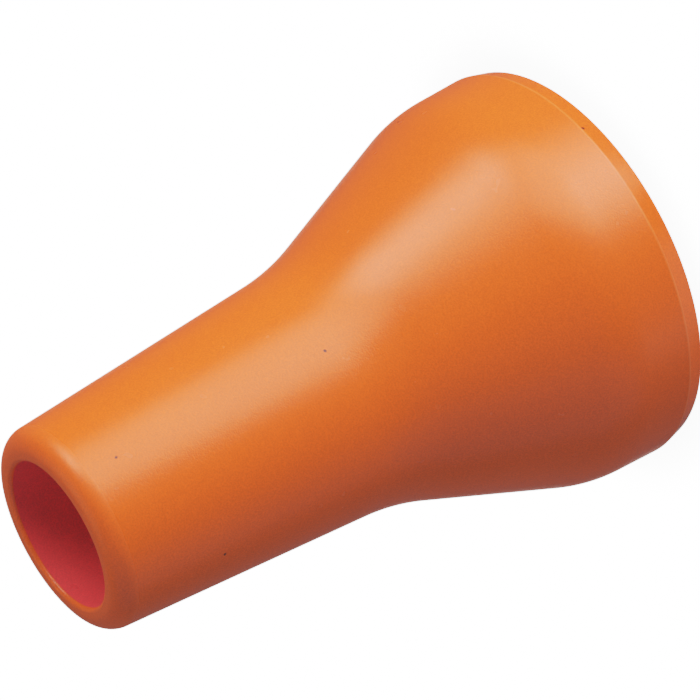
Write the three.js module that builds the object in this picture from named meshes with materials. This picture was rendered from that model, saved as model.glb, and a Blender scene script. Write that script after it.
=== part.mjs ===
// Round air nozzle of a ball-and-socket hose: one hollow plastic moulding.
//
// It stands on the rim of its socket. The origin is the centre of the rim face, +Z runs along the
// nozzle's axis towards the outlet, and every length is in millimetres.
//
// Half sections are drawn as (radius, height) points and revolved about the axis.

import * as THREE from "three";

// ---- overall ----
const overallLength = 38.5; // rim face to outlet lip
const plasticColour = 0xe06a24;

// ---- outlet tube ----
const boreDiameter = 9.5; // at the outlet
const boreDraft = 0.5; // degrees a side, wider towards the throat
const lipWall = 1.7; // wall of the tube at the lip
const tubeTaper = 4.2; // degrees a side, wider towards the neck
const lipRadius = 1.3; // rounding of the lip, outside
const boreEdgeRadius = 0.25; // rounding of the lip, inside

// ---- hose ball and the socket that snaps over it ----
const ballDiameter = 21.6; // ball of the hose link, not part of this object
const ballClearance = 0.1; // gap all round the ball
const snapOverlap = 0.45; // how far the mouth closes in over the ball, on the radius
const leadInDepth = 0.8; // conical lead-in at the mouth
const leadInAngle = 30; // degrees a side
const socketWall = 2.1; // wall at the rim crease, beyond the socket's radius
const shoulderWall = 1.6; // wall between the socket and the cone, where it is thinnest
const seatInset = 0.4; // how far the throat's cone draws in from the socket, as a seat for the ball

// ---- bell, outside ----
const rimBandHeight = 1.2; // narrow band between the rim face and the crease
const rimBandInset = 0.3; // how far the band draws in at the rim face
const rimEdgeRadius = 0.25; // rounding between the band and the rim face
const bellTaper = 2.1; // degrees a side, between the crease and the shoulder
const shoulderRadius = 9.8; // rounding between bell and cone
const coneAngle = 21.5; // degrees a side
const neckRadius = 15.4; // hollow rounding between cone and tube

// ---- fineness of the faceted surface ----
const turnSteps = 72; // facets round the axis
const facetGap = 0.012; // how far a facet may stand off a true arc of the half section

const slope = (degrees) => Math.tan(THREE.MathUtils.degToRad(degrees));
const point = (radius, height) => new THREE.Vector2(radius, height);

// A straight generator: its radius at any height.
const generator = (radius, height, gain) => ({ radius, height, gain });
const radiusAt = (line, height) => line.radius + line.gain * (height - line.height);

// The point where two generators cross.
function crossing(a, b) {
  const height = (radiusAt(b, 0) - radiusAt(a, 0)) / (a.gain - b.gain);
  return point(radiusAt(a, height), height);
}

// Points of an arc, both ends included. Angles are in radians from the +radius direction.
function arc(centre, radius, from, to) {
  const widest = 2 * Math.acos(1 - facetGap / radius);
  const steps = Math.max(2, Math.ceil(Math.abs(to - from) / widest));
  return Array.from({ length: steps + 1 }, (_, i) => {
    const angle = from + ((to - from) * i) / steps;
    return point(centre.x + radius * Math.cos(angle), centre.y + radius * Math.sin(angle));
  });
}

// The corner at b, between a and c, rounded to a radius. It shrinks only where it would take more than
// its share of the shorter leg.
function rounded(a, b, c, radius, share = 0.5) {
  const toA = a.clone().sub(b);
  const toC = c.clone().sub(b);
  const half = Math.abs(toA.angleTo(toC)) / 2;
  const room = Math.min(toA.length(), toC.length()) * share;
  const leg = Math.min(radius / Math.tan(half), room);
  const used = leg * Math.tan(half);
  const inward = toA.clone().normalize().add(toC.clone().normalize()).normalize();
  const centre = b.clone().addScaledVector(inward, used / Math.sin(half));
  const start = b.clone().addScaledVector(toA.normalize(), leg).sub(centre).angle();
  const end = b.clone().addScaledVector(toC.normalize(), leg).sub(centre).angle();
  const turn = THREE.MathUtils.euclideanModulo(end - start + Math.PI, 2 * Math.PI) - Math.PI;
  return arc(centre, used, start, start + turn);
}

// A cone about a point on the axis, at a distance from it, narrowing upwards.
function coneAround(centre, distance, degrees) {
  const lean = THREE.MathUtils.degToRad(degrees);
  return generator(distance / Math.cos(lean), centre.y, -Math.tan(lean));
}

// ---- the socket that everything below the neck is built round ----
const socketRadius = ballDiameter / 2 + ballClearance;
const mouthRadius = ballDiameter / 2 - snapOverlap;
const mouth = point(mouthRadius, leadInDepth);
const ballCentre = point(0, leadInDepth + Math.sqrt(socketRadius ** 2 - mouthRadius ** 2));

// ---- outside, from the rim face up to the lip ----
const creaseRadius = socketRadius + socketWall;
const boreRadius = boreDiameter / 2;
const lipOuterRadius = boreRadius + lipWall;

const bell = generator(creaseRadius, rimBandHeight, -slope(bellTaper));
const cone = coneAround(ballCentre, socketRadius + shoulderWall, coneAngle);
const tube = generator(lipOuterRadius, overallLength, -slope(tubeTaper));
const shoulder = crossing(bell, cone);
const neck = crossing(cone, tube);

const rimOuter = point(creaseRadius - rimBandInset, 0);
const crease = point(creaseRadius, rimBandHeight);
const lipOuter = point(lipOuterRadius, overallLength);
const lipInner = point(boreRadius, overallLength);

// ---- inside, from the lip down to the mouth ----
const throat = coneAround(ballCentre, socketRadius - seatInset, coneAngle);
const bore = generator(boreRadius, overallLength, -slope(boreDraft));
const throatTop = crossing(throat, bore);
const throatRadius = neckRadius + shoulderWall + seatInset; // same centre as the neck's rounding
const rimInner = point(mouthRadius + leadInDepth * slope(leadInAngle), 0);

// Where the throat's generator meets the socket's sphere, on the outlet side of the ball's centre.
function seatOf(line, centre, radius) {
  const start = radiusAt(line, centre.y);
  const a = 1 + line.gain ** 2;
  const b = start * line.gain;
  const rise = (-b + Math.sqrt(b ** 2 - a * (start ** 2 - radius ** 2))) / a;
  return point(start + line.gain * rise, centre.y + rise);
}
const seat = seatOf(throat, ballCentre, socketRadius);
const seatAngle = seat.clone().sub(ballCentre).angle();
const mouthAngle = Math.atan2(mouth.y - ballCentre.y, mouth.x);

// How the lip's two roundings share the wall between them.
const lipShare = lipRadius / (lipRadius + boreEdgeRadius);

function halfSection() {
  const outline = [
    ...rounded(rimInner, rimOuter, crease, rimEdgeRadius),
    crease,
    ...rounded(crease, shoulder, neck, shoulderRadius),
    ...rounded(shoulder, neck, lipOuter, neckRadius),
    ...rounded(neck, lipOuter, lipInner, lipRadius, lipShare),
    ...rounded(lipOuter, lipInner, throatTop, boreEdgeRadius, 1 - lipShare),
    ...rounded(lipInner, throatTop, seat, throatRadius),
    ...arc(ballCentre, socketRadius, seatAngle, mouthAngle),
    rimInner,
  ];
  outline.push(outline[0].clone());
  return outline;
}

function nozzleBody() {
  const geometry = new THREE.LatheGeometry(halfSection(), turnSteps);
  geometry.rotateX(Math.PI / 2); // the lathe turns about Y: stand it on Z
  const plastic = new THREE.MeshStandardMaterial({
    color: plasticColour,
    roughness: 0.45,
    metalness: 0,
  });
  const mesh = new THREE.Mesh(geometry, plastic);
  mesh.name = "nozzle_body";
  return mesh;
}

const nozzle = new THREE.Group();
nozzle.add(nozzleBody());

export default nozzle;
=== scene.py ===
"""Round air nozzle of a ball-and-socket hose: a turned plastic moulding in satin orange, and a small studio.

The file is laid out as an add-on and run as a script. Every length is in metres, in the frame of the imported
model: the nozzle stands on its socket's rim, the origin is the rim's centre, and +Z runs towards the outlet.
"""

import math

import bmesh
import bpy
from mathutils import Matrix, Vector


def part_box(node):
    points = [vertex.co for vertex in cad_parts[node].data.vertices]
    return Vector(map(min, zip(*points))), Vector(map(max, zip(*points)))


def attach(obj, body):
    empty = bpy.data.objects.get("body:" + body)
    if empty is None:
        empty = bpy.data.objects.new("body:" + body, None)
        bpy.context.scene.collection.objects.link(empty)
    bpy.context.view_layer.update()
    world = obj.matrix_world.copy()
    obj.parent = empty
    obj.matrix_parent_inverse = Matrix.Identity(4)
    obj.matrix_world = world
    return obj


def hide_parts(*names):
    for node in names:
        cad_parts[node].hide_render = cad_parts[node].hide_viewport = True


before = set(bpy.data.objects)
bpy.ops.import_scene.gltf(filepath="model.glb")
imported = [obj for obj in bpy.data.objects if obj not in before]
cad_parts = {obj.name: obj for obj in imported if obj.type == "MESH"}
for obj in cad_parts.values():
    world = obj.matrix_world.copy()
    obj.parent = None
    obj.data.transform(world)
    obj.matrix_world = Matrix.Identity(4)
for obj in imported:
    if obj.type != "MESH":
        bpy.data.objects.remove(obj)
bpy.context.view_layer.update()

bl_info = {
    "name": "Ball-Socket Hose Nozzle",
    "version": (1, 0, 0),
    "blender": (4, 5, 0),
    "location": "View3D > Sidebar > Nozzle",
    "description": "Makes a round air nozzle with a snap socket, its plastic and a studio to show it in",
    "category": "Object",
}

CAD_NODE = "nozzle_body"
MM = 0.001

FLOOR_GAP = 0.01 * MM
FLOOR_CORNERS = 64
CONTACT_SAMPLES = 8
CONTACT_FULL = 0.5  # share of open sky at which the contact shade is at its full depth
BEHIND = (0.0, 0.0, -1.0)  # directions are (right, up, nearer) as the camera sees them
FAR_SIDE_SPREAD = (110.0, 110.0)
LIGHT_DISTANCE = 0.5
LAMP_RISE = 1.0 * MM  # the socket's lamp, above the rim face

# Tints of the lights and of the cards.
WARM = (1.0, 0.97, 0.91)
ORANGE_CARD = (1.0, 0.80, 0.50)
COOL_CARD = (1.0, 0.86, 1.04)

# Soft boxes: name, direction, spread in degrees, share of the key, and tint. The first five make one large,
# uneven source. The others stand for cards that throw light back, but the last is a light behind the nozzle.
SOFT_BOXES = (
    ("key_wide", (0.05, 0.79, 0.56), (84.0, 46.0), 1.0, WARM),
    ("key_narrow", (0.05, 0.79, 0.56), (64.0, 30.0), 0.59, WARM),
    ("key_middle", (0.35, 0.78, 0.50), (46.0, 44.0), 0.72, WARM),
    ("key_right", (0.58, 0.75, 0.30), (28.0, 28.0), 1.99, WARM),
    ("key_left", (-0.47, 0.73, 0.49), (28.0, 28.0), 2.34, WARM),
    ("back_top", (0.25, 0.95, -0.15), (70.0, 26.0), 0.043, WARM),
    ("left_low", (-0.90, -0.30, 0.20), (40.0, 40.0), 0.44, ORANGE_CARD),
    ("below", (0.10, -0.95, 0.20), (90.0, 50.0), 0.155, COOL_CARD),
    ("below_front", (0.10, -0.60, 0.75), (60.0, 40.0), 0.07, WARM),
    ("right", (0.95, 0.0, 0.0), (50.0, 60.0), 0.14, WARM),
    ("behind", BEHIND, (26.0, 26.0), 0.2, WARM),
)

# Film: scene brightness and what is shown for it, before the display's own encoding.
FILM_WHITE = 2.5
FILM_VEIL = 0.011
FILM_POINTS = ((0.2, 0.2), (0.3, 0.31), (0.5, 0.46), (0.75, 0.595), (1.0, 0.69), (1.4, 0.785), (1.8, 0.86))

body_low, body_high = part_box(CAD_NODE)


# ---------------------------------------------------------------------------------------------------------
# Properties: the sizes, colours and lights that a user would change
# ---------------------------------------------------------------------------------------------------------


def length(name, description, millimetres):
    """A length property whose default is given in millimetres."""
    return bpy.props.FloatProperty(
        name=name, description=description, default=millimetres * MM, min=0.0, unit="LENGTH",
        subtype="DISTANCE", precision=5)


def angle(name, description, degrees):
    """An angle property whose default is given in degrees."""
    return bpy.props.FloatProperty(
        name=name, description=description, default=math.radians(degrees), unit="ROTATION",
        subtype="ANGLE")


def number(name, description, default, low=0.0, high=1000.0):
    """A plain number."""
    return bpy.props.FloatProperty(name=name, description=description, default=default, min=low, max=high)


def colour(name, description, default):
    """A linear RGB colour."""
    return bpy.props.FloatVectorProperty(
        name=name, description=description, default=default, size=3, min=0.0, max=1.0, subtype="COLOR")


class NozzleSizes(bpy.types.PropertyGroup):
    """Sizes of the moulding. The two overall ones come from the frame."""

    overall_length: length("Overall Length", "Rim face to outlet lip", (body_high.z - body_low.z) / MM)
    crease_radius: length("Crease Radius", "Widest radius, at the rim crease", body_high.x / MM)

    bore_diameter: length("Bore Diameter", "Bore at the outlet", 9.5)
    bore_draft: angle("Bore Draft", "Draft of the bore, wider towards the throat", 0.5)
    lip_wall: length("Lip Wall", "Wall of the tube at the lip", 1.7)
    tube_taper: angle("Tube Taper", "Taper of the tube, wider towards the neck", 4.2)
    lip_rounding: length("Lip Rounding", "Outside rounding of the lip", 1.3)
    bore_rounding: length("Bore Rounding", "Rounding between the lip and the bore", 0.25)

    socket_wall: length("Socket Wall", "Wall at the rim crease, beyond the socket's radius", 2.1)
    shoulder_wall: length("Shoulder Wall", "Wall between socket and cone, where it is thinnest", 1.6)
    seat_inset: length("Seat Inset", "How far the throat's cone draws in from the socket", 0.4)
    ball_clearance: length("Ball Clearance", "Gap all round the ball", 0.1)
    snap_overlap: length("Snap Overlap", "How far the mouth closes in over the ball, on the radius", 0.45)
    lead_in_depth: length("Lead-in Depth", "Depth of the conical lead-in at the mouth", 0.8)
    lead_in_angle: angle("Lead-in Angle", "Angle of the lead-in", 30.0)

    band_height: length("Band Height", "Narrow band between the rim face and the crease", 1.2)
    band_inset: length("Band Inset", "How far the band draws in at the rim face", 0.3)
    rim_rounding: length("Rim Rounding", "Rounding between the band and the rim face", 0.25)
    crease_rounding: length("Crease Rounding", "Rounding of the crease itself", 0.12)
    bell_taper: angle("Bell Taper", "Taper between the crease and the shoulder", 2.1)
    shoulder_rounding: length("Shoulder Rounding", "Rounding between bell and cone", 9.8)
    cone_angle: angle("Cone Angle", "Angle of the cone", 21.5)
    neck_rounding: length("Neck Rounding", "Hollow rounding between cone and tube", 15.4)


class NozzleFinish(bpy.types.PropertyGroup):
    """The plastic: its colour, gloss and moulded grain, with painted shade inside and a painted highlight
    along the crease.
    """

    pigment: colour("Pigment", "Colour of the plastic", (0.86, 0.126, 0.009))
    # Painted shade: the inside's pigment is darker and redder than the outside's, for the shade deep in the
    # bore, though the moulding is one plastic.
    bore_shade_pigment: colour("Bore Shade Pigment", "Colour of the plastic inside", (0.81, 0.064, 0.074))
    pigment_drift: number("Pigment Drift", "How much the colour drifts over the surface", 0.02, 0.0, 1.0)
    mottle: number("Mottle", "How much the grain lightens and darkens the colour", 0.13, 0.0, 1.0)
    # Painted highlight: a lighter line of colour along the rim's crease, for the light that the crease
    # catches.
    crease_highlight_colour: colour("Crease Highlight Colour", "Colour where the rim's crease is rubbed", (0.92, 0.19, 0.04))
    crease_highlight_width: length("Crease Highlight Width", "Half width of the rubbed line along the crease", 0.08)
    speck_colour: colour("Speck Colour", "Colour of the dark pigment specks", (0.07, 0.018, 0.008))
    speck_size: length("Speck Size", "Size of the pigment specks", 0.062)
    outside_roughness: number("Outside Roughness", "Roughness of the grained outside", 0.25, 0.0, 1.0)
    inside_roughness: number("Inside Roughness", "Roughness of the drawn inside", 0.30, 0.0, 1.0)
    rim_roughness: number("Rim Roughness", "Added roughness on the rim's narrow band", -0.10, -1.0, 1.0)
    lip_roughness: number("Lip Roughness", "Added roughness round the lip", 0.12, -1.0, 1.0)
    grain_size: length("Grain Size", "Size of the spark-eroded grain", 0.10)
    grain_depth: length("Grain Depth", "Depth of the spark-eroded grain", 0.009)
    waviness: length("Waviness", "Height of the slow waves in the moulded skin", 0.008)


class NozzleStudio(bpy.types.PropertyGroup):
    """The camera, the floor and the lights."""

    lens: number("Lens", "Focal length in millimetres", 205.7, 1.0, 1000.0)
    view_elevation: angle("View Elevation", "How far the camera looks down", 25.92)
    view_roll: angle("View Roll", "How far the camera is turned about its own line of sight", 118.24)
    view_distance: length("View Distance", "Camera to the point it looks at", 241.5)
    aim_side: length("Aim Side", "The point looked at, to the right of the axis", 1.44)
    aim_height: length("Aim Height", "The point looked at, above the rim", 16.13)
    floor_size: length("Floor Size", "Radius of the round floor", 4000.0)
    backdrop: number("Backdrop", "Brightness of floor and background", 2.5, 0.0, 100.0)
    contact_shade: number("Contact Shade", "How dark the floor turns beside the rim", 0.08, 0.0, 1.0)
    contact_reach: length("Contact Reach", "How far that shade reaches", 4.0)
    key_brightness: number("Key Brightness", "Brightness of the large soft box", 2.58)
    far_side_share: number("Far Side", "Brightness of the light behind the nozzle, to the key's", 0.3)
    socket_light_share: number("Socket Light", "Brightness of the light in the socket, to the key's", 0.8)
    socket_light_radius: length("Socket Light Radius", "Radius of that light, less than the mouth's", 8.0)
    ambient: number("Ambient", "Brightness of the surroundings that light the nozzle", 0.15)
    ambient_tint: colour("Ambient Tint", "Colour of the surroundings' light", (0.74, 0.84, 1.0))


# ---------------------------------------------------------------------------------------------------------
# The half section: corners of the outline, each with its rounding
# ---------------------------------------------------------------------------------------------------------


class Generator:
    """A straight line on the half section, given as its radius at any height."""

    def __init__(self, radius, height, gain):
        self.radius, self.height, self.gain = radius, height, gain

    def at(self, height):
        return self.radius + self.gain * (height - self.height)

    def crossing(self, other):
        height = (other.at(0.0) - self.at(0.0)) / (self.gain - other.gain)
        return Vector((self.at(height), height))


def cone_around(centre, distance, lean):
    """A cone that stays a distance from a point on the axis and narrows upwards."""
    return Generator(distance / math.cos(lean), centre.y, -math.tan(lean))


def seat_of(line, centre, radius):
    """Where a generator meets a sphere, on the outlet side of the sphere's centre."""
    start = line.at(centre.y)
    a = 1 + line.gain ** 2
    b = start * line.gain
    rise = (-b + math.sqrt(b ** 2 - a * (start ** 2 - radius ** 2))) / a
    return Vector((start + line.gain * rise, centre.y + rise))


def half_section(sizes):
    """The closed outline as (corner, rounding, is it inside) from the rim's outer edge up, over and down."""
    socket_radius = sizes.crease_radius - sizes.socket_wall
    mouth_radius = socket_radius - sizes.ball_clearance - sizes.snap_overlap
    mouth = Vector((mouth_radius, sizes.lead_in_depth))
    ball_rise = math.sqrt(socket_radius ** 2 - mouth_radius ** 2)
    ball_centre = Vector((0.0, sizes.lead_in_depth + ball_rise))

    bore_radius = sizes.bore_diameter / 2
    lip_radius = bore_radius + sizes.lip_wall
    bell = Generator(sizes.crease_radius, sizes.band_height, -math.tan(sizes.bell_taper))
    cone = cone_around(ball_centre, socket_radius + sizes.shoulder_wall, sizes.cone_angle)
    tube = Generator(lip_radius, sizes.overall_length, -math.tan(sizes.tube_taper))
    throat = cone_around(ball_centre, socket_radius - sizes.seat_inset, sizes.cone_angle)
    bore = Generator(bore_radius, sizes.overall_length, -math.tan(sizes.bore_draft))
    throat_rounding = sizes.neck_rounding + sizes.shoulder_wall + sizes.seat_inset

    # One corner whose rounding is the whole spherical zone, from the seat to the mouth.
    seat = seat_of(throat, ball_centre, socket_radius)
    seat_turn = math.atan2(seat.y - ball_centre.y, seat.x)
    mouth_turn = math.atan2(mouth.y - ball_centre.y, mouth.x)
    half_turn = (seat_turn - mouth_turn) / 2
    middle = (seat_turn + mouth_turn) / 2
    zone = ball_centre + Vector((math.cos(middle), math.sin(middle))) * (socket_radius / math.cos(half_turn))
    edge = sizes.crease_rounding
    zone_rounding = socket_radius - edge / math.tan(half_turn)

    top = sizes.overall_length
    lead_in = sizes.lead_in_depth * math.tan(sizes.lead_in_angle)
    return [
        (Vector((sizes.crease_radius - sizes.band_inset, 0.0)), sizes.rim_rounding, False),
        (Vector((sizes.crease_radius, sizes.band_height)), edge, False),
        (bell.crossing(cone), sizes.shoulder_rounding, False),
        (cone.crossing(tube), sizes.neck_rounding, False),
        (Vector((lip_radius, top)), sizes.lip_rounding, False),
        (Vector((bore_radius, top)), sizes.bore_rounding, False),
        (throat.crossing(bore), throat_rounding, True),
        (seat, edge, True),
        (zone, zone_rounding, True),
        (mouth, edge, True),
        (Vector((mouth_radius + lead_in, 0.0)), edge, False),
    ]


# ---------------------------------------------------------------------------------------------------------
# Geometry Nodes: rounds the outline's corners and turns it about the axis
# ---------------------------------------------------------------------------------------------------------

FACETS_ROUND = 288
ROUNDING_FACETS = 22
SPINE_RADIUS = 9.0 * MM  # the circle that the outline is carried along
WAVE_SCALE = 90.0  # slow waves per metre, one about every 11 mm
MERGE_DISTANCE = 0.0005 * MM
GRAIN_ROUGHNESS = 0.62  # share of each finer step in the grain's noise
INSIDE_FROM = 0.4  # faces whose blend of outside (0) and inside (1) is above this are inside


def socket_in(tree, name, kind, default=None):
    """Adds a named input to a node tree."""
    item = tree.interface.new_socket(name, in_out="INPUT", socket_type=kind)
    if default is not None:
        item.default_value = default
    return item


def socket_out(tree, name, kind):
    """Adds a named output to a node tree."""
    return tree.interface.new_socket(name, in_out="OUTPUT", socket_type=kind)


def feed(tree, target, value):
    """Links another node's socket into an input, or sets the input to a plain value."""
    if isinstance(value, bpy.types.NodeSocket):
        tree.links.new(value, target)
    else:
        target.default_value = value


def add_node(tree, kind, links=None, **settings):
    """Adds a node. links maps an input's name or index to another node's socket or a plain value."""
    node = tree.nodes.new(kind)
    for key, value in settings.items():
        setattr(node, key, value)
    for key, value in (links or {}).items():
        feed(tree, node.inputs[key], value)
    return node


def turned_body_tree():
    """A tree that rounds a closed outline of corners, turns it about Z and gives it two finishes."""
    tree = bpy.data.node_groups.new("Turned Body", "GeometryNodeTree")
    tree.is_modifier = True
    socket_in(tree, "Geometry", "NodeSocketGeometry")
    socket_in(tree, "Facets Round", "NodeSocketInt", FACETS_ROUND)
    socket_in(tree, "Rounding Facets", "NodeSocketInt", ROUNDING_FACETS)
    socket_in(tree, "Spine Radius", "NodeSocketFloat", SPINE_RADIUS)
    socket_in(tree, "Waviness", "NodeSocketFloat", 0.0)
    socket_in(tree, "Wave Scale", "NodeSocketFloat", WAVE_SCALE)
    socket_in(tree, "Outside Finish", "NodeSocketMaterial")
    socket_in(tree, "Inside Finish", "NodeSocketMaterial")
    socket_out(tree, "Geometry", "NodeSocketGeometry")

    given = add_node(tree, "NodeGroupInput").outputs
    rounding = add_node(tree, "GeometryNodeInputNamedAttribute", {"Name": "rounding"}, data_type="FLOAT")
    inside = add_node(tree, "GeometryNodeInputNamedAttribute", {"Name": "inside"}, data_type="FLOAT")

    outline = add_node(tree, "GeometryNodeMeshToCurve", {"Mesh": given["Geometry"]})
    rounded = add_node(tree, "GeometryNodeFilletCurve", {
        "Curve": outline.outputs["Curve"], "Radius": rounding.outputs["Attribute"],
        "Count": given["Rounding Facets"], "Limit Radius": True}, mode="POLY")
    spine = add_node(tree, "GeometryNodeCurvePrimitiveCircle", {
        "Resolution": given["Facets Round"], "Radius": given["Spine Radius"]})
    upright = add_node(tree, "GeometryNodeSetCurveNormal", {"Curve": spine.outputs["Curve"]}, mode="Z_UP")
    body = add_node(tree, "GeometryNodeCurveToMesh", {
        "Curve": upright.outputs["Curve"], "Profile Curve": rounded.outputs["Curve"]})
    closed = add_node(tree, "GeometryNodeMergeByDistance", {
        "Geometry": body.outputs["Mesh"], "Distance": MERGE_DISTANCE})

    # Slow waves in the skin, along the surface's own normal.
    noise = add_node(tree, "ShaderNodeTexNoise", {"Scale": given["Wave Scale"], "Detail": 1.0})
    centred = add_node(tree, "ShaderNodeMath", {0: noise.outputs[0], 1: 0.5}, operation="SUBTRACT")
    height = add_node(tree, "ShaderNodeMath", {0: centred.outputs[0], 1: given["Waviness"]},
                      operation="MULTIPLY")
    normal = add_node(tree, "GeometryNodeInputNormal")
    offset = add_node(tree, "ShaderNodeVectorMath", {0: normal.outputs["Normal"],
                                                     "Scale": height.outputs[0]}, operation="SCALE")
    waved = add_node(tree, "GeometryNodeSetPosition", {
        "Geometry": closed.outputs["Geometry"], "Offset": offset.outputs[0]})

    smooth = add_node(tree, "GeometryNodeSetShadeSmooth", {"Geometry": waved.outputs["Geometry"]})
    real = add_node(tree, "GeometryNodeRealizeInstances", {"Geometry": smooth.outputs["Geometry"]})
    outer = add_node(tree, "GeometryNodeSetMaterial", {
        "Geometry": real.outputs["Geometry"], "Material": given["Outside Finish"]})
    is_inside = add_node(tree, "FunctionNodeCompare", {0: inside.outputs["Attribute"], 1: INSIDE_FROM},
                         data_type="FLOAT", operation="GREATER_THAN")
    both = add_node(tree, "GeometryNodeSetMaterial", {
        "Geometry": outer.outputs["Geometry"], "Selection": is_inside.outputs[0],
        "Material": given["Inside Finish"]})
    add_node(tree, "NodeGroupOutput", {"Geometry": both.outputs["Geometry"]})
    return tree


def outline_mesh(corners, spine_radius):
    """A closed ring of edges through the corners, with each one's rounding and side as attributes."""
    mesh = bpy.data.meshes.new("nozzle_outline")
    points = [(corner.x - spine_radius, -corner.y, 0.0) for corner, _, _ in corners]  # carried with Y down
    count = len(points)
    mesh.from_pydata(points, [(i, (i + 1) % count) for i in range(count)], [])
    rounding = mesh.attributes.new("rounding", "FLOAT", "POINT")
    rounding.data.foreach_set("value", [size for _, size, _ in corners])
    inside = mesh.attributes.new("inside", "FLOAT", "POINT")
    inside.data.foreach_set("value", [float(side) for _, _, side in corners])
    return mesh


def set_inputs(modifier, values):
    """Sets a modifier's inputs by their sockets' names, through the sockets' identifiers."""
    for item in modifier.node_group.interface.items_tree:
        if item.item_type == "SOCKET" and item.in_out == "INPUT" and item.name in values:
            modifier[item.identifier] = values[item.name]


def applied(source, name):
    """The evaluated object as a plain mesh object of its own, and the source removed."""
    graph = bpy.context.evaluated_depsgraph_get()
    graph.update()
    mesh = bpy.data.meshes.new_from_object(source.evaluated_get(graph), depsgraph=graph)
    mesh.name = name
    bpy.data.objects.remove(source)
    piece = bpy.data.objects.new(name, mesh)
    bpy.context.scene.collection.objects.link(piece)
    return piece


def face_outwards(mesh):
    """Merges doubles and turns every face outwards."""
    work = bmesh.new()
    work.from_mesh(mesh)
    bmesh.ops.remove_doubles(work, verts=work.verts, dist=MERGE_DISTANCE)
    bmesh.ops.recalc_face_normals(work, faces=work.faces)
    work.to_mesh(mesh)
    work.free()


# ---------------------------------------------------------------------------------------------------------
# Shader node groups: effects that both finishes use
# ---------------------------------------------------------------------------------------------------------


def shader_group(name, inputs, outputs):
    """A new shader node group with named inputs, given as (name, kind, default), and outputs."""
    tree = bpy.data.node_groups.new(name, "ShaderNodeTree")
    for socket_name, kind, default in inputs:
        socket_in(tree, socket_name, "NodeSocket" + kind, default)
    for socket_name, kind in outputs:
        socket_out(tree, socket_name, "NodeSocket" + kind)
    return tree, add_node(tree, "NodeGroupInput").outputs


def math_node(tree, operation, *values, clamp=False):
    """A Math node's result."""
    node = add_node(tree, "ShaderNodeMath", dict(enumerate(values)), operation=operation)
    node.use_clamp = clamp
    return node.outputs[0]


def range_node(tree, value, low, high, to_low=0.0, to_high=1.0):
    """A value carried smoothly from one range to another."""
    return add_node(tree, "ShaderNodeMapRange", {
        "Value": value, "From Min": low, "From Max": high, "To Min": to_low, "To Max": to_high},
        interpolation_type="SMOOTHSTEP").outputs["Result"]


MIX_FIRST, MIX_SECOND, MIX_RESULT = 6, 7, 2  # the colour sockets of a Mix node


def mix_colour(tree, factor, first, second, blend="MIX"):
    """Two colours mixed by a factor. Each is another node's socket or a linear RGB colour."""
    node = add_node(tree, "ShaderNodeMix", {"Factor": factor}, data_type="RGBA", blend_type=blend)
    for index, value in ((MIX_FIRST, first), (MIX_SECOND, second)):
        is_socket = isinstance(value, bpy.types.NodeSocket)
        feed(tree, node.inputs[index], value if is_socket else (*value, 1.0))
    return node.outputs[MIX_RESULT]


def grey_colour(tree, value):
    """A grey whose three parts are one value."""
    return add_node(tree, "ShaderNodeCombineColor", {0: value, 1: value, 2: value}).outputs[0]


def grain_group():
    """Spark-eroded grain: shallow pits over a fine, uneven skin."""
    tree, given = shader_group(
        "Moulded Grain",
        [("Vector", "Vector", None), ("Size", "Float", 0.1 * MM), ("Pit Depth", "Float", 0.6),
         ("Patch Spacing", "Float", 14.0), ("Unevenness", "Float", 0.1)],
        [("Height", "Float"), ("Gloss Break", "Float")])
    scale = math_node(tree, "DIVIDE", 1.0, given["Size"])
    fine = add_node(tree, "ShaderNodeTexNoise", {
        "Vector": given["Vector"], "Scale": scale, "Detail": 3.0, "Roughness": GRAIN_ROUGHNESS})
    pits = add_node(tree, "ShaderNodeTexVoronoi", {"Vector": given["Vector"], "Scale": scale},
                    feature="SMOOTH_F1")
    slow_scale = math_node(tree, "DIVIDE", scale, given["Patch Spacing"])
    slow = add_node(tree, "ShaderNodeTexNoise", {
        "Vector": given["Vector"], "Scale": slow_scale, "Detail": 2.0})
    bowl = math_node(tree, "MULTIPLY", pits.outputs["Distance"], given["Pit Depth"])
    height = math_node(tree, "ADD", fine.outputs[0], bowl)
    broken = math_node(tree, "SUBTRACT", slow.outputs[0], 0.5)
    broken = math_node(tree, "MULTIPLY", broken, given["Unevenness"])
    add_node(tree, "NodeGroupOutput", {"Height": height, "Gloss Break": broken})
    return tree


def speck_group():
    """Scattered specks of unmixed pigment: one in a share of the cells of a random lattice."""
    tree, given = shader_group(
        "Pigment Specks",
        [("Vector", "Vector", None), ("Spacing", "Float", 2.0 * MM), ("Size", "Float", 0.07 * MM),
         ("Share", "Float", 0.25), ("Softness", "Float", 2.2), ("Edge Scale", "Float", 0.7),
         ("Smallest", "Float", 0.4)],
        [("Mask", "Float")])
    scale = math_node(tree, "DIVIDE", 1.0, given["Spacing"])
    cells = add_node(tree, "ShaderNodeTexVoronoi", {"Vector": given["Vector"], "Scale": scale}, feature="F1")
    apart = math_node(tree, "MULTIPLY", cells.outputs["Distance"], given["Spacing"])
    edge_scale = math_node(tree, "DIVIDE", given["Edge Scale"], given["Size"])
    edge = add_node(tree, "ShaderNodeTexNoise", {
        "Vector": given["Vector"], "Scale": edge_scale, "Detail": 1.0})
    uneven = math_node(tree, "ADD", edge.outputs[0], given["Smallest"])
    ragged = math_node(tree, "MULTIPLY", given["Size"], uneven)
    outer = math_node(tree, "MULTIPLY", ragged, given["Softness"])
    inside = range_node(tree, apart, ragged, outer, 1.0, 0.0)
    parts = add_node(tree, "ShaderNodeSeparateColor", {"Color": cells.outputs["Color"]})
    chosen = math_node(tree, "LESS_THAN", parts.outputs[0], given["Share"])
    add_node(tree, "NodeGroupOutput", {"Mask": math_node(tree, "MULTIPLY", inside, chosen)})
    return tree


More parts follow.
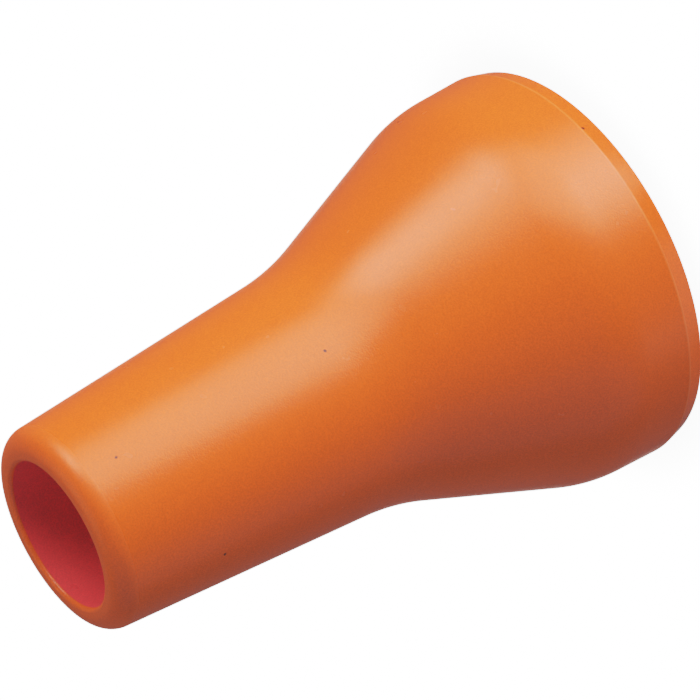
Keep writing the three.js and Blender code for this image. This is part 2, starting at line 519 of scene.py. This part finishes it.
def band_group():
    """A patchy band round the axis at one height, where the skin's roughness differs from the rest or where a
    painted highlight lies.
    """
    tree, given = shader_group(
        "Band",
        [("Vector", "Vector", None), ("Height", "Float", 0.0), ("Width", "Float", 0.4 * MM),
         ("Solid Share", "Float", 0.85), ("Patchiness", "Float", 0.3), ("Patch Scale", "Float", 420.0)],
        [("Mask", "Float")])
    place = add_node(tree, "ShaderNodeSeparateXYZ", {"Vector": given["Vector"]})
    away = math_node(tree, "ABSOLUTE", math_node(tree, "SUBTRACT", place.outputs["Z"], given["Height"]))
    inner = math_node(tree, "MULTIPLY", given["Width"], given["Solid Share"])
    band = range_node(tree, away, inner, given["Width"], 1.0, 0.0)
    patches = add_node(tree, "ShaderNodeTexNoise", {
        "Vector": given["Vector"], "Scale": given["Patch Scale"], "Detail": 3.0})
    patch_gaps = math_node(tree, "MULTIPLY", patches.outputs[0], given["Patchiness"])
    kept = math_node(tree, "SUBTRACT", 1.0, patch_gaps)
    add_node(tree, "NodeGroupOutput", {"Mask": math_node(tree, "MULTIPLY", band, kept)})
    return tree


class FinishGroups:
    """The shader groups, each built once."""

    def __init__(self):
        self.grain = grain_group()
        self.specks = speck_group()
        self.band = band_group()


def group_node(tree, group, links):
    """Places a shader group in a material."""
    node = tree.nodes.new("ShaderNodeGroup")
    node.node_tree = group
    for key, value in links.items():
        feed(tree, node.inputs[key], value)
    return node.outputs


def shaded(tree, base, factor, amount):
    """A colour made darker or lighter by up to an amount, as the factor runs from 0 to 1."""
    shade = math_node(tree, "MULTIPLY_ADD", factor, 2.0 * amount, 1.0 - amount)
    return mix_colour(tree, 1.0, base, grey_colour(tree, shade), "MULTIPLY")


PLASTIC_IOR = 1.48
SPECULAR_LEVEL = 0.40
DRIFT_SCALE = 110.0  # slow drift of the colour, in cells per metre
DRIFT_RANGE = (0.2, 0.8)  # the part of the noise that the drift uses
GRAIN_RANGE = (0.4, 1.1)  # the part of the grain's height that the mottle uses


def plastic(name, finish, groups, pigment, roughness, grain_depth, bands, crease):
    """Pigmented plastic with moulded grain, specks, a painted highlight along the crease and bands of another
    roughness.

    bands are given as (height, width, added roughness), crease as its height.
    """
    material = bpy.data.materials.new(name)
    material.use_nodes = True
    tree = material.node_tree
    shader = tree.nodes["Principled BSDF"]
    place = add_node(tree, "ShaderNodeTexCoord").outputs["Object"]
    grain = group_node(tree, groups.grain, {"Vector": place, "Size": finish.grain_size})
    specks = group_node(tree, groups.specks, {"Vector": place, "Size": finish.speck_size})

    slow = add_node(tree, "ShaderNodeTexNoise", {"Vector": place, "Scale": DRIFT_SCALE, "Detail": 1.0})
    base = shaded(tree, pigment, range_node(tree, slow.outputs[0], *DRIFT_RANGE), finish.pigment_drift)
    base = shaded(tree, base, range_node(tree, grain["Height"], *GRAIN_RANGE), finish.mottle)
    # Painted highlight: a patchy lighter line of colour along the crease.
    highlit = group_node(tree, groups.band, {
        "Vector": place, "Height": crease, "Width": finish.crease_highlight_width, "Patchiness": 0.9})
    base = mix_colour(tree, highlit["Mask"], base, finish.crease_highlight_colour)
    base = mix_colour(tree, specks["Mask"], base, finish.speck_colour)
    tree.links.new(base, shader.inputs["Base Color"])

    total = math_node(tree, "ADD", roughness, grain["Gloss Break"])
    for height, width, amount in bands:
        band = group_node(tree, groups.band, {"Vector": place, "Height": height, "Width": width})
        added = math_node(tree, "MULTIPLY", band["Mask"], amount)
        total = math_node(tree, "ADD", total, added, clamp=True)
    tree.links.new(total, shader.inputs["Roughness"])
    bump = add_node(tree, "ShaderNodeBump", {
        "Height": grain["Height"], "Distance": grain_depth, "Strength": 1.0})
    tree.links.new(bump.outputs["Normal"], shader.inputs["Normal"])

    shader.inputs["IOR"].default_value = PLASTIC_IOR
    shader.inputs["Specular IOR Level"].default_value = SPECULAR_LEVEL
    return material


# ---------------------------------------------------------------------------------------------------------
# Operators
# ---------------------------------------------------------------------------------------------------------


class NOZZLE_OT_make_moulding(bpy.types.Operator):
    """Makes the one-piece moulding and its plastic, in place of the plain CAD body"""

    bl_idname = "nozzle.make_moulding"
    bl_label = "Make Moulding"

    def execute(self, context):
        sizes = context.scene.nozzle_sizes
        finish = context.scene.nozzle_finish
        groups = FinishGroups()
        lip_band = (sizes.overall_length, sizes.lip_rounding, finish.lip_roughness)
        rim_band = (0.0, sizes.band_height, finish.rim_roughness)
        outside = plastic("orange_grained", finish, groups, finish.pigment, finish.outside_roughness,
                          finish.grain_depth, (rim_band, lip_band), sizes.band_height)
        # The inside's material carries the darker, redder pigment: painted shade in the bore.
        inside = plastic("orange_drawn_shaded", finish, groups, finish.bore_shade_pigment, finish.inside_roughness,
                         finish.grain_depth / 2, (), sizes.band_height)

        outline = outline_mesh(half_section(sizes), SPINE_RADIUS)
        source = bpy.data.objects.new("nozzle_outline", outline)
        context.scene.collection.objects.link(source)
        modifier = source.modifiers.new("Turned Body", "NODES")
        modifier.node_group = turned_body_tree()
        set_inputs(modifier, {
            "Facets Round": FACETS_ROUND, "Rounding Facets": ROUNDING_FACETS,
            "Spine Radius": SPINE_RADIUS, "Waviness": finish.waviness,
            "Outside Finish": outside, "Inside Finish": inside})
        piece = applied(source, "nozzle_moulding")
        face_outwards(piece.data)

        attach(piece, "root")
        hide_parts(CAD_NODE)
        return {"FINISHED"}


class NOZZLE_OT_make_studio(bpy.types.Operator):
    """Makes the pale floor, the soft lights and the camera"""

    bl_idname = "nozzle.make_studio"
    bl_label = "Make Studio"

    def execute(self, context):
        studio = context.scene.nozzle_studio
        camera = make_camera(studio)
        make_floor(studio)
        make_lights(studio, camera)
        make_surroundings(studio)
        set_film(context.scene)
        return {"FINISHED"}


def make_camera(studio):
    """A long lens, looking down at the nozzle and turned about its line of sight."""
    data = bpy.data.cameras.new("camera")
    data.lens = studio.lens
    data.clip_start = 0.01
    camera = bpy.data.objects.new("camera", data)
    bpy.context.scene.collection.objects.link(camera)
    aim = Vector((studio.aim_side, 0.0, studio.aim_height))
    tilt = Matrix.Rotation(math.pi / 2 - studio.view_elevation, 3, "X")
    roll = Matrix.Rotation(-studio.view_roll, 3, "Z")
    turn = tilt @ roll
    back = turn @ Vector((0.0, 0.0, 1.0))
    camera.matrix_world = Matrix.Translation(aim + back * studio.view_distance) @ turn.to_4x4()
    bpy.context.scene.camera = camera
    return camera


def make_floor(studio):
    """A round pale floor just under the rim. It glows evenly, shaded only close to what stands on it."""
    work = bmesh.new()
    bmesh.ops.create_circle(work, cap_ends=True, radius=studio.floor_size, segments=FLOOR_CORNERS)
    mesh = bpy.data.meshes.new("floor")
    work.to_mesh(mesh)
    work.free()
    mesh.transform(Matrix.Translation((0.0, 0.0, body_low.z - FLOOR_GAP)))
    floor = bpy.data.objects.new("floor", mesh)
    bpy.context.scene.collection.objects.link(floor)
    floor.visible_diffuse = False
    floor.visible_glossy = False
    floor.visible_shadow = False

    material = bpy.data.materials.new("pale_floor")
    material.use_nodes = True
    tree = material.node_tree
    shader = tree.nodes["Principled BSDF"]
    shader.inputs["Base Color"].default_value = (0.0, 0.0, 0.0, 1.0)
    shader.inputs["Specular IOR Level"].default_value = 0.0
    shader.inputs["Emission Strength"].default_value = studio.backdrop
    near = add_node(tree, "ShaderNodeAmbientOcclusion", {"Distance": studio.contact_reach},
                    samples=CONTACT_SAMPLES)
    open_sky = range_node(tree, near.outputs["AO"], CONTACT_FULL, 1.0, 1.0 - studio.contact_shade, 1.0)
    tree.links.new(grey_colour(tree, open_sky), shader.inputs["Emission Color"])
    mesh.materials.append(material)


def soft_box(name, camera, towards, spread, brightness, tint):
    """A rectangular light at arm's length from the nozzle's middle.

    towards is (right, up, nearer) as the camera sees it, spread is its width and height in degrees as seen
    from the nozzle, and brightness is that of its own surface.
    """
    turn = camera.matrix_world.to_3x3()
    direction = (turn @ Vector(towards)).normalized()
    middle = (body_low + body_high) / 2
    width, height = (2 * LIGHT_DISTANCE * math.tan(math.radians(part) / 2) for part in spread)
    data = bpy.data.lights.new(name, "AREA")
    data.shape = "RECTANGLE"
    data.size, data.size_y = width, height
    data.energy = math.pi * width * height * brightness
    data.color = tint
    lamp = bpy.data.objects.new(name, data)
    across = turn @ Vector((1.0, 0.0, 0.0))
    across = (across - direction * across.dot(direction)).normalized()
    upward = direction.cross(across)
    facing = Matrix((across, upward, direction)).transposed()
    lamp.matrix_world = Matrix.Translation(middle + direction * LIGHT_DISTANCE) @ facing.to_4x4()
    lamp.visible_camera = False
    bpy.context.scene.collection.objects.link(lamp)
    return lamp


def socket_lamp(studio, brightness):
    """A round light in the socket's mouth, for the light that would reach the bore from that side."""
    radius = studio.socket_light_radius
    data = bpy.data.lights.new("socket_light", "AREA")
    data.shape = "DISK"
    data.size = 2 * radius
    data.energy = math.pi * math.pi * radius ** 2 * brightness
    data.color = WARM
    lamp = bpy.data.objects.new("socket_light", data)
    upward = Matrix.Rotation(math.pi, 4, "X")
    lamp.matrix_world = Matrix.Translation((0.0, 0.0, body_low.z + LAMP_RISE)) @ upward
    lamp.visible_camera = False
    bpy.context.scene.collection.objects.link(lamp)


def make_lights(studio, camera):
    """The soft boxes and cards round the nozzle, and the lights behind it and in its socket."""
    key = studio.key_brightness
    for name, towards, spread, share, tint in SOFT_BOXES:
        soft_box(name, camera, towards, spread, key * share, tint)
    far_side = soft_box("far_side", camera, BEHIND, FAR_SIDE_SPREAD, key * studio.far_side_share, WARM)
    far_side.visible_glossy = False  # lights the far side without an edge of glare round the near one
    socket_lamp(studio, key * studio.socket_light_share)


def make_surroundings(studio):
    """Surroundings that light the nozzle faintly, and that look like the floor where they show."""
    world = bpy.data.worlds.new("surroundings")
    world.use_nodes = True
    tree = world.node_tree
    light = tree.nodes["Background"]
    light.inputs["Color"].default_value = (*studio.ambient_tint, 1.0)
    light.inputs["Strength"].default_value = studio.ambient
    seen = add_node(tree, "ShaderNodeBackground", {"Color": (1.0, 1.0, 1.0, 1.0),
                                                   "Strength": studio.backdrop})
    path = add_node(tree, "ShaderNodeLightPath")
    either = add_node(tree, "ShaderNodeMixShader", {0: path.outputs["Is Camera Ray"],
                                                    1: light.outputs[0], 2: seen.outputs[0]})
    tree.links.new(either.outputs[0], tree.nodes["World Output"].inputs["Surface"])
    bpy.context.scene.world = world


def set_film(scene):
    """Plain colour with a soft shoulder, so that bright orange turns yellower and never clips."""
    view = scene.view_settings
    view.view_transform = "Standard"
    view.look = "None"
    view.exposure = 0.0
    view.gamma = 1.0
    view.use_curve_mapping = True
    film = view.curve_mapping
    film.white_level = (FILM_WHITE, FILM_WHITE, FILM_WHITE)
    curve = film.curves[3]
    curve.points[0].location = (0.0, FILM_VEIL)
    for light, shown in FILM_POINTS:
        curve.points.new(light / FILM_WHITE, shown)
    film.update()


class NOZZLE_PT_panel(bpy.types.Panel):
    """Lists what the add-on makes, and its settings"""

    bl_label = "Hose Nozzle"
    bl_space_type = "VIEW_3D"
    bl_region_type = "UI"
    bl_category = "Nozzle"

    def draw(self, context):
        layout = self.layout
        layout.operator(NOZZLE_OT_make_moulding.bl_idname)
        layout.operator(NOZZLE_OT_make_studio.bl_idname)
        for group in (context.scene.nozzle_sizes, context.scene.nozzle_finish, context.scene.nozzle_studio):
            box = layout.box()
            for name in group.__annotations__:
                box.prop(group, name)


CLASSES = (NozzleSizes, NozzleFinish, NozzleStudio, NOZZLE_OT_make_moulding, NOZZLE_OT_make_studio,
           NOZZLE_PT_panel)


def register():
    for item in CLASSES:
        bpy.utils.register_class(item)
    bpy.types.Scene.nozzle_sizes = bpy.props.PointerProperty(type=NozzleSizes)
    bpy.types.Scene.nozzle_finish = bpy.props.PointerProperty(type=NozzleFinish)
    bpy.types.Scene.nozzle_studio = bpy.props.PointerProperty(type=NozzleStudio)


def unregister():
    del bpy.types.Scene.nozzle_studio
    del bpy.types.Scene.nozzle_finish
    del bpy.types.Scene.nozzle_sizes
    for item in reversed(CLASSES):
        bpy.utils.unregister_class(item)


def main():
    register()
    bpy.ops.nozzle.make_studio()
    bpy.ops.nozzle.make_moulding()


if __name__ == "__main__":
    main()
